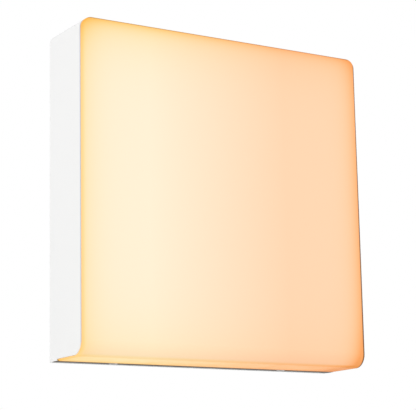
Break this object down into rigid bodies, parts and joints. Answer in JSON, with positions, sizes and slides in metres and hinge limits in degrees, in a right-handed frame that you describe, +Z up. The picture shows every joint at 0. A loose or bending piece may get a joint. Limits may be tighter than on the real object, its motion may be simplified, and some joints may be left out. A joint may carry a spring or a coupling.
{
  "type": "outdoor wall light",
  "caption": "Slim square outdoor wall light: white cast housing with an opal cover that glows over the whole front and underside and pulls off forward for wiring.",
  "frame": {"origin": "centre of the housing's back face, on the wall plane", "axes": "+Y into the wall, -Y out towards the viewer, +X to the right for someone facing the light, +Z up"},
  "size_m": [0.197, 0.045, 0.2],
  "materials": {
    "white_powder_coat": "white satin powder coat over cast aluminium",
    "opal_cover": "satin opal, lit from inside",
    "gasket_foam": "soft closed-cell foam",
    "black_rubber": "moulded rubber",
    "clear_silicone": "milky silicone",
    "vent_plastic": "moulded, matt",
    "stainless": "turned stainless",
    "zinc_steel": "bright zinc plate",
    "reflector_white": "high-reflectance white paint over folded aluminium sheet",
    "thermal_pad_grey": "soft gap pad",
    "board_white": "white solder mask on an aluminium core",
    "led_phosphor": "phosphor-filled lens",
    "plug_white": "moulded, matt",
    "driver_shell": "fine spark-eroded texture",
    "board_green": "green solder mask",
    "ferrite": "sintered, dull",
    "winding_tape": "wrapped polyester tape",
    "can_aluminium": "sleeved aluminium can",
    "choke_copper": "enamelled copper wire",
    "chip_black": "moulded epoxy",
    "terminal_grey": "moulded, matt",
    "lever_grey": "moulded, matt",
    "contact_brass": "bright",
    "insulation_brown": "extruded insulation",
    "insulation_blue": "extruded insulation",
    "insulation_earth": "extruded insulation with a yellow stripe",
    "insulation_red": "extruded insulation",
    "insulation_black": "extruded insulation",
    "tinned_copper": "tinned",
    "clamp_nylon": "moulded nylon"
  },
  "bodies": {
    "housing_body": {"housing": "white_powder_coat", "wall_gasket": "gasket_foam", "cable_grommet": "black_rubber", "tray_grommet": "black_rubber", "vent_plug": "vent_plastic", "retaining_clips": "stainless", "clip_screws": "stainless", "tray_screws": "zinc_steel", "board_screws": "zinc_steel", "driver_screws": "zinc_steel", "clamp_screws": "zinc_steel", "terminal_screw": "zinc_steel", "earth_screw": "zinc_steel", "reflector_tray": "reflector_white", "thermal_pad": "thermal_pad_grey", "led_board": "board_white", "led_chips": "led_phosphor", "led_plug": "plug_white", "driver_plugs": "plug_white", "driver_case": "driver_shell", "driver_lid": "driver_shell", "driver_board": "board_green", "transformer_core": "ferrite", "transformer_winding": "winding_tape", "capacitors": "can_aluminium", "choke": "choke_copper", "switching_chips": "chip_black", "terminal_block": "terminal_grey", "terminal_contacts": "contact_brass", "live_lead": "insulation_brown", "neutral_lead": "insulation_blue", "earth_lead": "insulation_earth", "led_plus_lead": "insulation_red", "led_minus_lead": "insulation_black", "earth_lug": "tinned_copper", "cord_clamp": "clamp_nylon"},
    "cover": {"diffuser": "opal_cover", "diffuser_seal": "clear_silicone"},
    "lock_screw_left": {"lock_screw_left": "stainless"},
    "lock_screw_right": {"lock_screw_right": "stainless"},
    "lever_live": {"lever_live": "lever_grey"},
    "lever_neutral": {"lever_neutral": "lever_grey"},
    "lever_earth": {"lever_earth": "lever_grey"}
  },
  "joints": [
    {"name": "cover_pull", "type": "slide", "parent": "housing_body", "child": "cover", "axis": [0, -1, 0], "range_m": [0, 0.05]},
    {"name": "lock_screw_left_travel", "type": "slide", "parent": "housing_body", "child": "lock_screw_left", "axis": [0, 0, -1], "range_m": [0, 0.002]},
    {"name": "lock_screw_right_travel", "type": "slide", "parent": "housing_body", "child": "lock_screw_right", "axis": [0, 0, -1], "range_m": [0, 0.002]},
    {"name": "lever_live_open", "type": "hinge", "parent": "housing_body", "child": "lever_live", "pos_m": [-0.0062, -0.0089, -0.082], "axis": [1, 0, 0], "range_deg": [0, 80]},
    {"name": "lever_neutral_open", "type": "hinge", "parent": "housing_body", "child": "lever_neutral", "pos_m": [0, -0.0089, -0.082], "axis": [1, 0, 0], "range_deg": [0, 80]},
    {"name": "lever_earth_open", "type": "hinge", "parent": "housing_body", "child": "lever_earth", "pos_m": [0.0062, -0.0089, -0.082], "axis": [1, 0, 0], "range_deg": [0, 80]}
  ]
}
